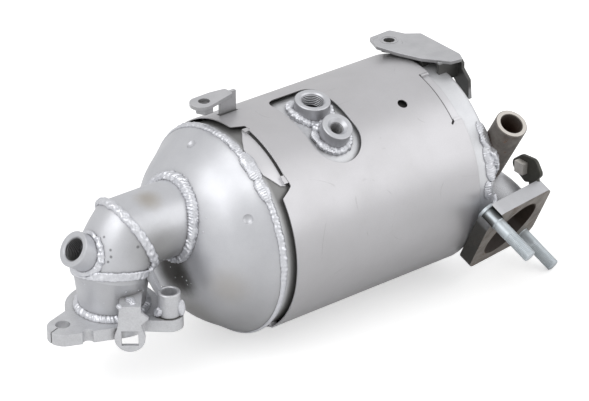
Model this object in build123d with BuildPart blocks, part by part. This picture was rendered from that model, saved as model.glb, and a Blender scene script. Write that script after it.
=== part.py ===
from build123d import *
from math import radians, sin, cos, tan, asin
import os

os.makedirs("parts", exist_ok=True)

# Diesel particulate filter with its inlet elbow and outlet flange, millimetres.
# Origin: centre of the joint face of the inlet flange. +X runs along the canister
# from inlet to outlet, +Z is up, the sensor side of the canister faces -Y.

# canister
seam_x = 94.0
axis_z = 37.0
can_radius = 76.1
can_wall = 1.2
shoulder_radius = 4.0
cover_reach = 26.0
can_lap = 2.4
rim_reach = 0.4
seam_bead = 2.8
seam_bead_x = -1.4
seam_bead_sink = 0.9

# ceramic bricks inside the canister, and the rooms before, between and behind them
mat_thickness = 3.0
front_room = 6.0
catalyst_length = 48.0
middle_room = 34.0
filter_length = 88.0
rear_room = 18.2
cell_pitch = 14.0
cell_width = 9.5
cell_depth = 2.0
cell_count = 7

# inlet cone
cone_wall = 1.8
cone_rim = 0.8
cone_points = ((9.5, 72.8), (28.0, 59.6), (40.3, 43.0))
cone_depth = 44.5
dimple_radius = 5.0
dimple_spots = ((17.5, -9.1, 71.5), (18.8, 56.3, 70.6))

# neck, elbow and collar
pipe_wall = 2.0
neck_radius = 26.9
neck_z = 60.4
mitre_x = 13.8
mitre_turn = 48.0
elbow_outside = (-14.6, 68.1)
elbow_inside = (26.3, 32.0)
collar_height = 27.5
collar_lean = 11.5
joint_height = 28.0
joint_lean = 18.0
joint_towards = 46.2
collar_low_radius = 23.0
collar_top_radius = 26.8
band_width = 5.4
band_height = 1.5
neck_bead = 3.2
outlet_bead = 3.0

# inlet flange
flange_thickness = 9.0
flange_radius = 33.0
bolt_circle = 43.0
bolt_angles = (183.0, 303.0, 63.0)
lug_radii = (12.5, 9.8, 10.5)
lug_shift = 2.6
lug_root = 21.0
bolt_hole_radius = 5.25
edge_angle = 243.0
groove_angle = 211.6
groove_distance = 41.2
groove_radius = 3.8
crack_width = 0.9
crack_angle = 198.0
bush_radius = 8.0
bush_bore = 5.65
bush_height = 18.5
bush_chamfer = 0.6
fillet_leg = 3.7

# hanger tab with the square hole
tab_angle = 232.0
tab_offset = 14.2
tab_front = 37.0
tab_thickness = 3.0
tab_radius = 10.7
tab_z = 2.9
tab_top = 25.0
tab_hole = 11.6
tab_neck_low = 8.0
tab_neck_top = 8.0
ear_reach = 13.2
ear_z = 18.5
ear_half = 5.0

# rib between elbow and bush
rib_thickness = 4.4
rib_foot_z = 19.0
rib_top_z = 47.0
rib_low_z = 37.0
rib_end_z = 27.4

# threaded bosses
boss_thread = 8.3
boss_radius = 12.8
boss_chamfer = 1.1
elbow_boss_lean = 36.3
elbow_boss_foot = 41.26
elbow_boss_reach = 38.0
sensor_boss_angle = 10.0
sensor_boss_shift = 1.2
sensor_boss_height = 11.0
pressure_boss_angle = 30.0
pressure_boss_shift = 0.4
pressure_boss_height = 12.9
pressure_boss_radius = 11.2
pressure_thread = 5.05
pressure_chamfer = 2.4
boss_weld = 3.0
boss_weld_height = 2.1
tip_play = 1.3
seat_depth = 3.0

# heat shield
shield_gap = 2.6
shield_wall = 0.9
shield_front = 8.3
shield_end = 18.2
band_end = 17.1
slit_width = 1.1
notch_from = 2.9
notch_to = 51.0
tab_outline = ((16.0, 6.8), (14.3, 7.3), (7.4, 14.2), (2.9, 20.0), (3.7, 36.9), (12.3, 45.3), (16.0, 46.2))
tab_turns = (0.0, 140.0, 250.0)
tab_necks = (((13.6, 18.6), (6.9, 9.6)), ((14.4, 18.9), (41.6, 46.0)))
strip_necks = ((11.6, 14.4), (44.6, 47.4))
window_front = 20.3
window_rear = 20.5
window_top_angle = -10.0
window_end_angle = 46.6
window_corner = 9.0
peep_back = 38.7
peep_angle = 27.2
peep_radius = 3.75
strip_width = 8.0
rear_slit_from = 13.0
rear_slit_to = 46.0
strip_over = 1.0
cut_over = 3.0

# front bracket on top of the canister
bracket_sheet = 2.6
front_bracket_height = 16.9
front_wall_y = 19.2
front_wall_along = 23.4
front_wall_width = 13.6
front_plate_y = 18.8
front_plate_rounds = ((-0.4, 18.6, 8.6), (24.0, 17.8, 1.6), (23.0, 23.5, 2.5), (13.0, 25.5, 2.0))
foot_play = 1.2
front_nut_along = 2.0
nut_flats = 12.0
nut_height = 5.2
nut_bore = 3.4
bracket_hole = 4.2

# rear bracket over the shoulder of the canister, places given from the end wall
rear_bracket_height = 7.9
rear_nut_along = -15.1
rear_nut_y = 29.6
rear_corner = 2.6
rear_outline = (
    (-29.2, 27.0),
    (-24.2, 41.5),
    (-4.2, 42.5),
    (1.2, 31.0),
    (10.8, 24.0),
    (10.8, -20.0),
    (7.3, -27.0),
    (-2.4, -25.7),
    (-16.2, -8.5),
    (-23.7, 8.7),
)
rear_skirt_along = 10.8
rear_skirt = (
    (24.0, 0.0),
    (-20.0, 0.0),
    (-25.5, -5.0),
    (-25.5, -9.0),
    (-33.0, -16.0),
    (-34.5, -30.5),
    (-28.0, -30.5),
    (-14.0, -17.0),
    (20.0, -17.0),
)
rear_leg_depth = 17.0
rear_legs = ((-11.7, -6.0, 6.0, 2.6), (-1.2, 20.0, 22.0, 2.6), (0.3, -19.5, 20.0, 2.6))

# mount sleeve behind the canister
sleeve_radius = 12.0
sleeve_bore = 8.25
sleeve_length = 52.0
sleeve_rim = (-77.3, 49.6)
sleeve_lean = 30.0
sleeve_chamfer = 0.5
sleeve_weld_from = 20.0
sleeve_weld_size = 4.3

# outlet elbow, flange and studs
outlet_radius = 26.4
outlet_bend = 38.0
outlet_straight = 7.0
outlet_yaw = 10.0
outlet_drop = 30.0
outlet_face = (17.0, -74.7, -40.0)
outlet_long = (0.776, -0.189, 0.601)
outlet_thickness = 11.0
outlet_bore = 25.0
outlet_way = 21.0
stud_along = 5.8
stud_across = 42.8
stud_radius = 5.0
stud_shank = 5.25
stud_length = 34.5
stud_head_radius = 7.3
stud_head = 2.5
stud_play = 0.25
stud_chamfer = 0.8
outlet_lugs = (12.0, 13.0)
outlet_side = 27.6
outlet_side_radius = 13.0

# clip bracket on the outlet flange, places given from the centre of the flange
clip_sheet = 2.5
clip_along = 22.8
clip_rounds = (
    (-19.5, 37.6, 5.4),
    (-13.6, 42.5, 5.4),
    (-3.3, 43.0, 5.9),
    (1.7, 39.5, 3.9),
    (-2.3, 33.2, 3.0),
    (-10.6, 30.2, 3.0),
)
clip_foot = (-2.0, 27.8, 9.0, 14.0)
clip_bolt_at = (-13.1, 39.2)
clip_head = 9.0
clip_head_height = 5.0
clip_pin = 2.9

# values that follow from the ones above
can_line = Axis((0, 0, axis_z), (1, 0, 0))
inner_radius = can_radius - can_wall
brick_radius = inner_radius - mat_thickness
catalyst_end = front_room + catalyst_length
filter_start = catalyst_end + middle_room
can_length = filter_start + filter_length + rear_room
end_x = seam_x + can_length
can_top = axis_z + can_radius
cone_rim_radius = can_radius + cone_rim
room_middle = catalyst_end + middle_room / 2
sensor_boss_x = room_middle + sensor_boss_shift
sensor_boss_rim = can_radius + sensor_boss_height
pressure_boss_x = room_middle + pressure_boss_shift
pressure_boss_rim = can_radius + pressure_boss_height
shield_radius = can_radius + shield_gap + shield_wall
shield_rear = can_length - shield_end
rear_slit_x = shield_rear - strip_width
front_bracket_z = can_top + front_bracket_height
rear_bracket_z = can_top + rear_bracket_height
mitre_lean = mitre_turn / 2
mitre_point = Vector(mitre_x, 0, neck_z)
collar_top = flange_thickness + collar_height
stud_hole = stud_shank + stud_play
outlet_normal = Vector(
    sin(radians(outlet_yaw)),
    -cos(radians(outlet_yaw)) * cos(radians(outlet_drop)),
    -cos(radians(outlet_yaw)) * sin(radians(outlet_drop)),
)


def hull_round(rounds):
    """flat outline drawn tightly round a few circles given by x, y and radius"""
    with BuildSketch(mode=Mode.PRIVATE) as outline:
        for x, y, radius in rounds:
            with Locations((x, y)):
                Circle(radius)
        make_hull(outline.sketch.edges())
    return outline.sketch


def radial(angle):
    """unit vector away from the canister axis, angle from the top towards -Y"""
    return Vector(0, -sin(radians(angle)), cos(radians(angle)))


def can_point(along, angle, radius):
    return Vector(seam_x + along, 0, axis_z) + radial(angle) * radius


def can_plane(along, angle, radius):
    """plane touching the canister, local x along the axis"""
    return Plane(origin=can_point(along, angle, radius), x_dir=(1, 0, 0), z_dir=radial(angle))


def spot(along, angle, middle):
    """place of a canister point in the touching plane at the middle angle"""
    return (along, -shield_radius * sin(radians(angle - middle)))


def cross_plane(along):
    """plane across the canister axis, local y up"""
    return Plane(origin=(seam_x + along, 0, axis_z), x_dir=(0, 1, 0), z_dir=(1, 0, 0))



def outer_can(radius, length):
    """canister as a filled body with its rounded rear shoulder"""
    with BuildPart() as body:
        with BuildSketch(cross_plane(-can_lap)):
            Circle(radius)
        extrude(amount=length + can_lap)
        round_edge = body.faces().sort_by(Axis.X)[-1].edges()
        fillet(round_edge, radius=shoulder_radius - (can_radius - radius))
    return body.part


def outer_cone(shrink, deep):
    """inlet cone as a filled body, smaller by the given wall"""
    with BuildPart() as body:
        with BuildSketch(Plane.XZ):
            with BuildLine():
                rim = (seam_x, axis_z + cone_rim_radius - shrink)
                middle = [
                    (seam_x - x + deep * shrink, axis_z + r - shrink * (1 - deep)) for x, r in cone_points
                ]
                nose = (seam_x - cone_depth + shrink, axis_z)
                Spline(rim, *middle, nose, tangents=((-1, 0), (0, -1)))
                Polyline(nose, (seam_x, axis_z), rim)
            make_face()
        revolve(axis=can_line, revolution_arc=360)
    return body.part


def neck_body(radius, start):
    """neck pipe as a filled body from a height on its axis to inside the cone"""
    with BuildPart() as body:
        with BuildSketch(Plane(origin=(start, 0, neck_z), x_dir=(0, 1, 0), z_dir=(1, 0, 0))):
            Circle(radius)
        extrude(amount=seam_x - start - 12)
        split(bisect_by=mitre_plane, keep=Keep.TOP)
    return body.part


def collar_body(shrink):
    """tapered collar from the flange to its leaning top as a filled body"""
    with BuildPart() as body:
        with BuildSketch(Plane(origin=(0, 0, flange_thickness), x_dir=(0, 1, 0), z_dir=(0, 0, 1))):
            Circle(collar_low_radius - shrink)
        with BuildSketch(collar_plane):
            Ellipse(collar_top_radius - shrink, (collar_top_radius - shrink) / cos(radians(collar_lean)))
        loft()
    return body.part


def elbow_body(shrink):
    """elbow between collar and neck as a filled body"""
    with BuildPart() as body:
        with BuildSketch(collar_plane):
            Ellipse(collar_top_radius - shrink, (collar_top_radius - shrink) / cos(radians(collar_lean)))
        with BuildSketch(middle_plane):
            Ellipse(neck_radius - shrink, middle_half - shrink)
        with BuildSketch(mitre_plane):
            Ellipse(neck_radius - shrink, (neck_radius - shrink) / cos(radians(mitre_lean)))
        loft()
    return body.part


def stand_body(shrink):
    """collar and elbow together as a filled body"""
    with BuildPart() as body:
        add(collar_body(shrink))
        add(elbow_body(shrink))
    return body.part


mitre_plane = Plane(
    origin=mitre_point,
    x_dir=(0, 1, 0),
    z_dir=(cos(radians(mitre_lean)), 0, sin(radians(mitre_lean))),
)
collar_foot = Plane(origin=(0, 0, flange_thickness), x_dir=(1, 0, 0), z_dir=(0, 0, 1))
collar_plane = Plane(
    origin=(0, 0, collar_top),
    x_dir=(0, 1, 0),
    z_dir=(sin(radians(collar_lean)), 0, cos(radians(collar_lean))),
)
# the welded joint of collar and elbow leans back and to the side
joint_plane = Plane(
    origin=(0, 0, flange_thickness + joint_height),
    x_dir=(-sin(radians(joint_towards)), cos(radians(joint_towards)), 0),
    z_dir=(
        sin(radians(joint_lean)) * cos(radians(joint_towards)),
        sin(radians(joint_lean)) * sin(radians(joint_towards)),
        cos(radians(joint_lean)),
    ),
)
# widest section of the elbow, between its outermost and innermost points
outside_point = Vector(elbow_outside[0], 0, elbow_outside[1])
inside_point = Vector(elbow_inside[0], 0, elbow_inside[1])
middle_half = (outside_point - inside_point).length / 2
middle_plane = Plane(
    origin=(outside_point + inside_point) * 0.5,
    x_dir=(0, 1, 0),
    z_dir=Vector(0, 1, 0).cross(outside_point - inside_point),
)
boss_direction = Vector(-cos(radians(elbow_boss_lean)), 0, sin(radians(elbow_boss_lean)))
elbow_boss_plane = Plane(
    origin=Vector(0, 0, elbow_boss_foot) + boss_direction * elbow_boss_reach,
    x_dir=(0, 1, 0),
    z_dir=boss_direction,
)

can_envelope = outer_can(can_radius, can_length)
cone_envelope = outer_cone(0, 0)
neck_envelope = neck_body(neck_radius, mitre_x - neck_radius)
stand_envelope = stand_body(0)
stand_grown = stand_body(-boss_weld_height)


# outlet path: out of the end wall, round the bend, on to the flange
face_point = Vector(end_x, 0, axis_z) + Vector(*outlet_face)
bend_turn = 90 - outlet_yaw
bend_reach = outlet_bend * tan(radians(bend_turn / 2))
bend_point = face_point - outlet_normal * (outlet_thickness + outlet_straight + bend_reach)
bend_start = Vector(bend_point.X - bend_reach, bend_point.Y, bend_point.Z)
bend_end = bend_point + outlet_normal * bend_reach
bend_side = (outlet_normal - Vector(outlet_normal.X, 0, 0)).normalized()
bend_middle = (
    bend_start
    + Vector(sin(radians(bend_turn / 2)), 0, 0) * outlet_bend
    + bend_side * (1 - cos(radians(bend_turn / 2))) * outlet_bend
)
outlet_plane = Plane(origin=face_point, x_dir=outlet_long, z_dir=outlet_normal)
outlet_back = outlet_plane.offset(-outlet_thickness)


def outlet_body(radius, end_gap):
    """outlet pipe as a filled body, swept along its bent centre line from inside the canister"""
    with BuildPart() as body:
        with BuildLine() as path:
            first = bend_start - Vector(outlet_straight, 0, 0)
            Line(first, bend_start)
            ThreePointArc(bend_start, bend_middle, bend_end)
            Line(bend_end, face_point - outlet_normal * end_gap)
        with BuildSketch(Plane(origin=first, x_dir=(0, 1, 0), z_dir=(1, 0, 0))):
            Circle(radius)
        sweep()
    return body.part


outlet_envelope = outlet_body(outlet_radius, outlet_thickness)


# end cover: pressed cap with a rounded shoulder, butted to the tube under the heat shield
cover_seam = cross_plane(can_length - cover_reach)
bend_angle = asin((end_x - bend_start.X) / outlet_bend)
way_point = bend_start + Vector(end_x - bend_start.X, 0, 0) + bend_side * outlet_bend * (1 - cos(bend_angle))

with BuildPart() as cover:
    add(can_envelope)
    add(outer_can(inner_radius, can_length - can_wall), mode=Mode.SUBTRACT)
    split(bisect_by=cover_seam, keep=Keep.TOP)
    # way into the outlet pipe
    with BuildSketch(Plane(origin=way_point, x_dir=(0, 1, 0), z_dir=(1, 0, 0))):
        Circle(outlet_way)
    extrude(amount=-can_wall * 2, mode=Mode.SUBTRACT)

cover.part.label = "end_cover"
export_step(cover.part, "parts/end_cover.step")


# canister shell: rolled tube with the two holes under the sensor bosses
with BuildPart() as canister:
    with BuildSketch(cross_plane(-can_lap)):
        Circle(can_radius)
        Circle(inner_radius, mode=Mode.SUBTRACT)
    extrude(amount=can_lap + can_length - cover_reach)
    for along, angle, bore in (
        (sensor_boss_x, sensor_boss_angle, boss_thread),
        (pressure_boss_x, pressure_boss_angle, pressure_thread),
    ):
        with BuildSketch(can_plane(along, angle, can_radius + can_wall)):
            Circle(bore + tip_play)
        extrude(amount=-can_wall * 4, mode=Mode.SUBTRACT)

canister.part.label = "canister_shell"
export_step(canister.part, "parts/canister_shell.step")


# room inside the cone, the stamped dimples standing into it
dimple_middles = [can_point(-back, angle, radius) for back, angle, radius in dimple_spots]

with BuildPart() as cone_room:
    add(outer_cone(cone_wall, 0))
    with Locations(dimple_middles):
        Sphere(dimple_radius + cone_wall, mode=Mode.SUBTRACT)


# inlet cone: pressed dome with two stamped dimples and the neck opening
with BuildPart() as cone:
    add(cone_envelope)
    # short rim that slides over the canister
    with BuildSketch(cross_plane(0)):
        Circle(cone_rim_radius)
    extrude(amount=rim_reach)
    add(cone_room.part, mode=Mode.SUBTRACT)
    add(can_envelope, mode=Mode.SUBTRACT)
    with BuildSketch(Plane(origin=(seam_x, 0, neck_z), x_dir=(0, 1, 0), z_dir=(1, 0, 0))):
        Circle(neck_radius - pipe_wall)
    extrude(amount=-cone_depth - pipe_wall, mode=Mode.SUBTRACT)
    with Locations(dimple_middles):
        Sphere(dimple_radius, mode=Mode.SUBTRACT)

cone.part.label = "inlet_cone"
export_step(cone.part, "parts/inlet_cone.step")


# neck pipe from the cone to the mitre
with BuildPart() as neck:
    add(neck_envelope)
    add(neck_body(neck_radius - pipe_wall, mitre_x - neck_radius), mode=Mode.SUBTRACT)
    add(cone_envelope, mode=Mode.SUBTRACT)

neck.part.label = "neck_pipe"
export_step(neck.part, "parts/neck_pipe.step")


# elbow between the mitre and the joint, with the hole under its sensor boss
with BuildPart() as elbow:
    add(stand_envelope)
    add(stand_body(pipe_wall), mode=Mode.SUBTRACT)
    split(bisect_by=joint_plane, keep=Keep.TOP)
    with BuildSketch(elbow_boss_plane):
        Circle(boss_thread + tip_play)
    extrude(amount=-elbow_boss_reach, mode=Mode.SUBTRACT)

elbow.part.label = "inlet_elbow"
export_step(elbow.part, "parts/inlet_elbow.step")


# collar: short tapered pipe from the inlet flange up to the joint
with BuildPart() as collar:
    add(stand_envelope)
    add(stand_body(pipe_wall), mode=Mode.SUBTRACT)
    split(bisect_by=joint_plane, keep=Keep.BOTTOM)
    with BuildSketch(elbow_boss_plane):
        Circle(boss_thread + tip_play)
    extrude(amount=-elbow_boss_reach, mode=Mode.SUBTRACT)

collar.part.label = "inlet_collar"
export_step(collar.part, "parts/inlet_collar.step")


# inlet flange: round plate with three bolt lugs, the left one cracked through
bolt_spots = [
    Vector(bolt_circle * cos(radians(angle)), bolt_circle * sin(radians(angle))) for angle in bolt_angles
]
lug_spots = [bolt_spots[0] + Vector(0, -lug_shift), bolt_spots[1], bolt_spots[2]]
edge_normal = Vector(cos(radians(edge_angle)), sin(radians(edge_angle)))

with BuildPart() as flange:
    with BuildSketch():
        Circle(flange_radius)
        for lug, radius in zip(lug_spots, lug_radii):
            add(hull_round(((0, 0, lug_root), (lug.X, lug.Y, radius))))
        # straight front edge from the left lug to the round plate
        with BuildLine():
            Polyline(
                (0, 0),
                lug_spots[0],
                lug_spots[0] + edge_normal * lug_radii[0],
                edge_normal * flange_radius,
                close=True,
            )
        make_face()
        with Locations(bolt_spots):
            Circle(bolt_hole_radius, mode=Mode.SUBTRACT)
        Circle(collar_low_radius - pipe_wall, mode=Mode.SUBTRACT)
        with Locations(
            (groove_distance * cos(radians(groove_angle)), groove_distance * sin(radians(groove_angle)))
        ):
            Circle(groove_radius, mode=Mode.SUBTRACT)
    extrude(amount=flange_thickness)
    with BuildSketch(Plane(origin=bolt_spots[0], x_dir=(cos(radians(crack_angle)), sin(radians(crack_angle)), 0))):
        with Locations((lug_radii[0], 0)):
            Rectangle(lug_radii[0] * 2, crack_width)
    extrude(amount=flange_thickness, mode=Mode.SUBTRACT)

flange.part.label = "inlet_flange"
export_step(flange.part, "parts/inlet_flange.step")


# spacer bush welded on the front lug
with BuildPart() as bush:
    with BuildSketch(Plane(origin=bolt_spots[1] + Vector(0, 0, flange_thickness))):
        Circle(bush_radius)
        Circle(bush_bore, mode=Mode.SUBTRACT)
    extrude(amount=bush_height)
    chamfer(bush.faces().sort_by(Axis.Z)[-1].edges(), bush_chamfer)

bush.part.label = "flange_bush"
export_step(bush.part, "parts/flange_bush.step")


# hanger tab: sheet strip with a square hole, folded back to the collar at its top
tab_x = Vector(-sin(radians(tab_angle)), cos(radians(tab_angle)), 0)
tab_normal = Vector(cos(radians(tab_angle)), sin(radians(tab_angle)), 0)
tab_plane = Plane(origin=tab_normal * tab_front + tab_x * tab_offset, x_dir=tab_x, z_dir=tab_normal)

with BuildPart() as tab:
    with BuildSketch(tab_plane):
        with Locations((0, tab_z)):
            Circle(tab_radius)
        with BuildLine():
            Polyline(
                (-tab_radius + 1, tab_z + 3),
                (-tab_neck_low, ear_z - ear_half),
                (-tab_neck_low + 1, tab_top + tab_thickness),
                (tab_neck_top, tab_top + tab_thickness),
                (tab_neck_top, ear_z + ear_half),
                (ear_reach, ear_z),
                (tab_neck_top, ear_z - ear_half),
                (tab_radius - 1, tab_z + 3),
                close=True,
            )
        make_face()
        with Locations((0, tab_z)):
            Rectangle(tab_hole, tab_hole, mode=Mode.SUBTRACT)
    extrude(amount=-tab_thickness)
    # folded top leg, coped to the collar
    with BuildSketch(Plane(origin=tab_plane.origin + Vector(0, 0, tab_top), x_dir=tab_x, z_dir=(0, 0, 1))):
        with Locations(((tab_neck_top - tab_neck_low + 1) / 2, tab_front / 2 - tab_thickness / 2)):
            Rectangle(tab_neck_top + tab_neck_low - 1, tab_front - tab_thickness)
    extrude(amount=tab_thickness)
    add(stand_envelope, mode=Mode.SUBTRACT)

tab.part.label = "hanger_tab"
export_step(tab.part, "parts/hanger_tab.step")


# rib between the elbow and the bush
rib_direction = bolt_spots[1].normalized()
rib_plane = Plane(origin=(0, 0, 0), x_dir=rib_direction, z_dir=rib_direction.cross(Vector(0, 0, 1)))

with BuildPart() as rib:
    with BuildSketch(rib_plane):
        with BuildLine():
            Polyline(
                (collar_low_radius, rib_low_z),
                (collar_low_radius, rib_top_z),
                (collar_top_radius + 1, rib_top_z),
                (bolt_circle - bush_radius + 2, rib_end_z),
                (bolt_circle - bush_radius + 2, rib_foot_z),
                (collar_top_radius, rib_low_z),
                close=True,
            )
        make_face()
    extrude(amount=rib_thickness / 2, both=True)
    add(stand_envelope, mode=Mode.SUBTRACT)
    with Locations(bolt_spots[1] + Vector(0, 0, flange_thickness)):
        Cylinder(
            bush_radius, bush_height, align=(Align.CENTER, Align.CENTER, Align.MIN), mode=Mode.SUBTRACT
        )

rib.part.label = "elbow_rib"
export_step(rib.part, "parts/elbow_rib.step")


def boss(plane, depth, radius, thread, bevel, seats):
    """threaded boss whose rim lies in the plane, coped to the bodies under it"""
    with BuildPart() as body:
        with BuildSketch(plane):
            Circle(radius)
            Circle(thread, mode=Mode.SUBTRACT)
        extrude(amount=-depth)
        flat = body.faces().filter_by(GeomType.PLANE)
        rim = flat.sort_by_distance(plane.origin + plane.z_dir * depth)[0].edges()
        chamfer(rim.sort_by(SortBy.RADIUS)[0], bevel)
        chamfer(rim.sort_by(SortBy.RADIUS)[-1], boss_chamfer / 2)
        for seat in seats:
            add(seat, mode=Mode.SUBTRACT)
    return body.part


def boss_round(plane, depth, radius):
    """filled round bar down from the plane"""
    with BuildPart() as body:
        with BuildSketch(plane):
            Circle(radius)
        extrude(amount=-depth)
    return body.part


def boss_bead(plane, depth, radius, thicker, seats):
    """weld ring round a boss: a sleeve kept between the body and the same body grown"""
    with BuildPart() as bead:
        with BuildSketch(plane):
            Circle(radius + boss_weld)
            Circle(radius, mode=Mode.SUBTRACT)
        extrude(amount=-depth)
        add(thicker, mode=Mode.INTERSECT)
        for seat in seats:
            add(seat, mode=Mode.SUBTRACT)
    return bead.part


# bosses: one on the elbow, two on the canister inside the window of the shield
sensor_plane = Plane(
    origin=can_point(sensor_boss_x, sensor_boss_angle, sensor_boss_rim),
    x_dir=(1, 0, 0),
    z_dir=radial(sensor_boss_angle),
)
pressure_plane = Plane(
    origin=can_point(pressure_boss_x, pressure_boss_angle, pressure_boss_rim),
    x_dir=(1, 0, 0),
    z_dir=radial(pressure_boss_angle),
)
can_grown = outer_can(can_radius + boss_weld_height, can_length)
sensor_round = boss_round(sensor_plane, sensor_boss_height + seat_depth, boss_radius + boss_weld)
pressure_round = boss_round(pressure_plane, pressure_boss_height + seat_depth, pressure_boss_radius)

bosses = {}
boss_welds = {}
for label, plane, depth, radius, thread, bevel, thicker, seats, other in (
    (
        "elbow_boss",
        elbow_boss_plane,
        elbow_boss_reach - neck_radius / 2,
        boss_radius,
        boss_thread,
        boss_chamfer,
        stand_grown,
        (stand_envelope,),
        neck_envelope,
    ),
    (
        "sensor_boss",
        sensor_plane,
        sensor_boss_height + seat_depth,
        boss_radius,
        boss_thread,
        boss_chamfer,
        can_grown,
        (can_envelope,),
        pressure_round,
    ),
    (
        "pressure_boss",
        pressure_plane,
        pressure_boss_height + seat_depth,
        pressure_boss_radius,
        pressure_thread,
        pressure_chamfer,
        can_grown,
        (can_envelope,),
        sensor_round,
    ),
):
    made = boss(plane, depth, radius, thread, bevel, seats)
    made.label = label
    export_step(made, f"parts/{label}.step")
    bead = boss_bead(plane, depth, radius, thicker, (*seats, other))
    bead.label = label + "_weld"
    export_step(bead, f"parts/{label}_weld.step")
    bosses[label] = made
    boss_welds[label] = bead


# heat shield: thin wrap round the canister with its window, slits and feet
def shield_block(middle, outline):
    """outline of canister points as a block standing through the shield"""
    with BuildPart() as block:
        with BuildSketch(can_plane(0, middle, shield_radius + cut_over)):
            with BuildLine():
                Polyline([spot(x, a, middle) for x, a in outline], close=True)
            make_face()
        extrude(amount=-shield_radius / 2)
    return block.part


notch = shield_block(
    (notch_from + notch_to) / 2,
    (
        (shield_front - 4, notch_from - 6),
        (shield_front + 1, notch_from),
        (band_end - 3.2, notch_from + 1.5),
        (band_end + 0.6, notch_from + 2.6),
        (band_end + 1.4, notch_from + 5.8),
        (band_end, notch_from + 6.8),
        (band_end, notch_to - 9.6),
        (band_end + 1.2, notch_to - 4.8),
        (band_end + 1.2, notch_to - 3),
        (band_end - 2.4, notch_to - 1),
        (shield_front - 0.6, notch_to + 2),
        (shield_front - 4, notch_to + 6),
    ),
)
slit = shield_block(
    (rear_slit_from + rear_slit_to) / 2,
    (
        (rear_slit_x, rear_slit_from),
        (rear_slit_x, rear_slit_to - 1),
        (rear_slit_x - 2.6, rear_slit_to + 0.6),
        (rear_slit_x - 1.8, rear_slit_to + 1.6),
        (rear_slit_x + slit_width, rear_slit_to),
        (shield_rear + 1, rear_slit_to),
        (shield_rear + 1, rear_slit_from),
    ),
)


def foot_piece(outline, reach):
    """outline of canister points as a piece standing up from the canister"""
    angles = [angle for along, angle in outline]
    middle = (min(angles) + max(angles)) / 2
    with BuildPart() as piece:
        with BuildSketch(cross_plane(0)):
            Circle(reach)
            Circle(can_radius, mode=Mode.SUBTRACT)
        extrude(amount=shield_rear)
        add(shield_block(middle, outline), mode=Mode.INTERSECT)
    return piece.part


def span_outline(along, angles):
    """four-cornered outline from a span along the axis and a span of angles"""
    (near, far), (low, high) = along, angles
    return ((near, low), (near, high), (far, high), (far, low))


# pressed tab and rear strip lying on the canister, with their stepped necks
strip_outline = span_outline(
    (rear_slit_x + slit_width, shield_rear), (rear_slit_from - strip_over, rear_slit_to + strip_over)
)
feet = [
    foot_piece(tab_outline, can_radius + shield_wall),
    foot_piece(strip_outline, can_radius + shield_wall),
]
strip_span = (rear_slit_x + slit_width, shield_rear)
for along, angles in tab_necks + tuple((strip_span, angles) for angles in strip_necks):
    feet.append(foot_piece(span_outline(along, angles), shield_radius - shield_wall / 2))

with BuildPart() as shield:
    with BuildSketch(cross_plane(shield_front)):
        Circle(shield_radius)
        Circle(shield_radius - shield_wall, mode=Mode.SUBTRACT)
    extrude(amount=shield_rear - shield_front)
    # front edge notches round the pressed tabs
    for turn in tab_turns:
        add(notch.rotate(can_line, turn), mode=Mode.SUBTRACT)
        add(slit.rotate(can_line, turn), mode=Mode.SUBTRACT)
    # window over the sensor bosses
    window_middle = (window_top_angle + window_end_angle) / 2
    window_radius = (window_front + window_rear) / 2
    window_x = room_middle + (window_rear - window_front) / 2
    window_end = spot(0, window_end_angle, window_middle)[1]
    window_top = spot(0, window_top_angle, window_middle)[1]
    with BuildSketch(can_plane(0, window_middle, shield_radius + cut_over)):
        with Locations((window_x, (window_end + window_radius + window_top) / 2)):
            Rectangle(window_radius * 2, window_top - window_end - window_radius)
        fillet(vertices().group_by(Axis.Y)[-1], radius=window_corner)
        with Locations((window_x, window_end + window_radius)):
            Circle(window_radius)
    extrude(amount=-shield_radius / 2, mode=Mode.SUBTRACT)
    # peep hole
    with BuildSketch(can_plane(shield_rear - peep_back, peep_angle, shield_radius + cut_over)):
        Circle(peep_radius)
    extrude(amount=-shield_radius / 3, mode=Mode.SUBTRACT)
    # openings for the foot of the front bracket
    front_wall_at = (seam_x + front_wall_along, front_wall_y + bracket_sheet / 2)
    with BuildSketch(Plane.XY.offset(axis_z + shield_radius + cut_over)):
        with Locations(front_wall_at):
            Rectangle(front_wall_width + 2 * foot_play, bracket_sheet + 2 * foot_play)
    extrude(amount=-shield_radius, mode=Mode.SUBTRACT)
    for turn in tab_turns:
        for foot in feet:
            add(foot.rotate(can_line, turn))

shield.part.label = "heat_shield"
export_step(shield.part, "parts/heat_shield.step")


# front bracket: upright wall through the shield with a folded top plate
with BuildPart() as front_bracket:
    with BuildSketch(Plane.XY.offset(front_bracket_z - bracket_sheet)):
        add(hull_round([(seam_x + x, y, radius) for x, y, radius in front_plate_rounds]))
        with Locations((seam_x + front_nut_along, front_plate_y)):
            Circle(bracket_hole, mode=Mode.SUBTRACT)
    extrude(amount=bracket_sheet)
    with BuildSketch(Plane.XY.offset(axis_z)):
        with Locations(front_wall_at):
            Rectangle(front_wall_width, bracket_sheet)
    extrude(amount=front_bracket_z - axis_z)
    add(can_envelope, mode=Mode.SUBTRACT)

front_bracket.part.label = "front_bracket"
export_step(front_bracket.part, "parts/front_bracket.step")


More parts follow.
